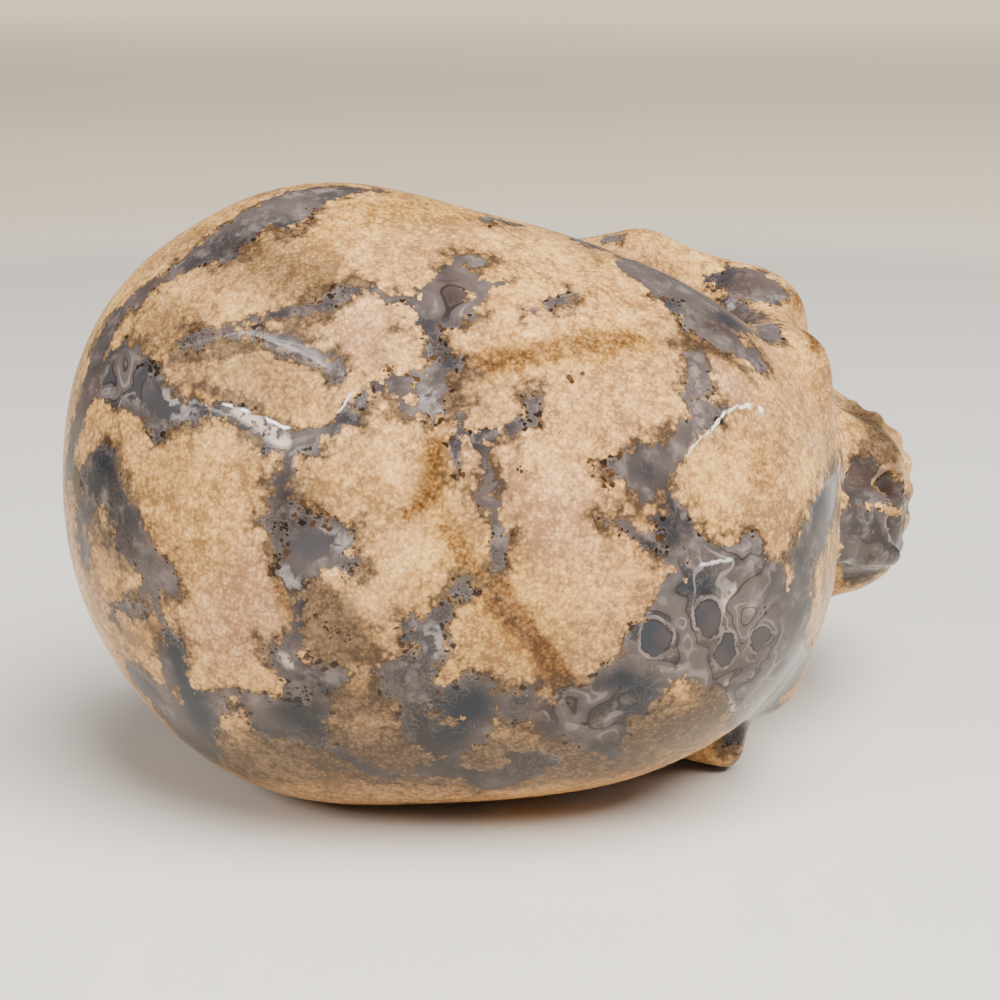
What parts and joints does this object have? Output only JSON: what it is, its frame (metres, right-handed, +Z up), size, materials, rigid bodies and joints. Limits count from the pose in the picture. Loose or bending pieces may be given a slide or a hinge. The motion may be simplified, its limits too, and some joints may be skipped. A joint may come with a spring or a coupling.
{
  "type": "polished agate skull carving",
  "caption": "Solid carved stone skull with its jaw closed, polished all over, lying on its right side.",
  "frame": {"origin": "on the table under the middle of the stone's bounding box, as it lies on its right side", "axes": "+X towards the face, +Y from the crown towards the jaw, +Z up, which is towards the skull's left side"},
  "size_m": [0.0832, 0.0678, 0.0591],
  "materials": {
    "flower_agate": "high polish, tan and cream plumes in blue-grey banded chalcedony"
  },
  "bodies": {
    "root": {"skull": "flower_agate"}
  },
  "joints": []
}
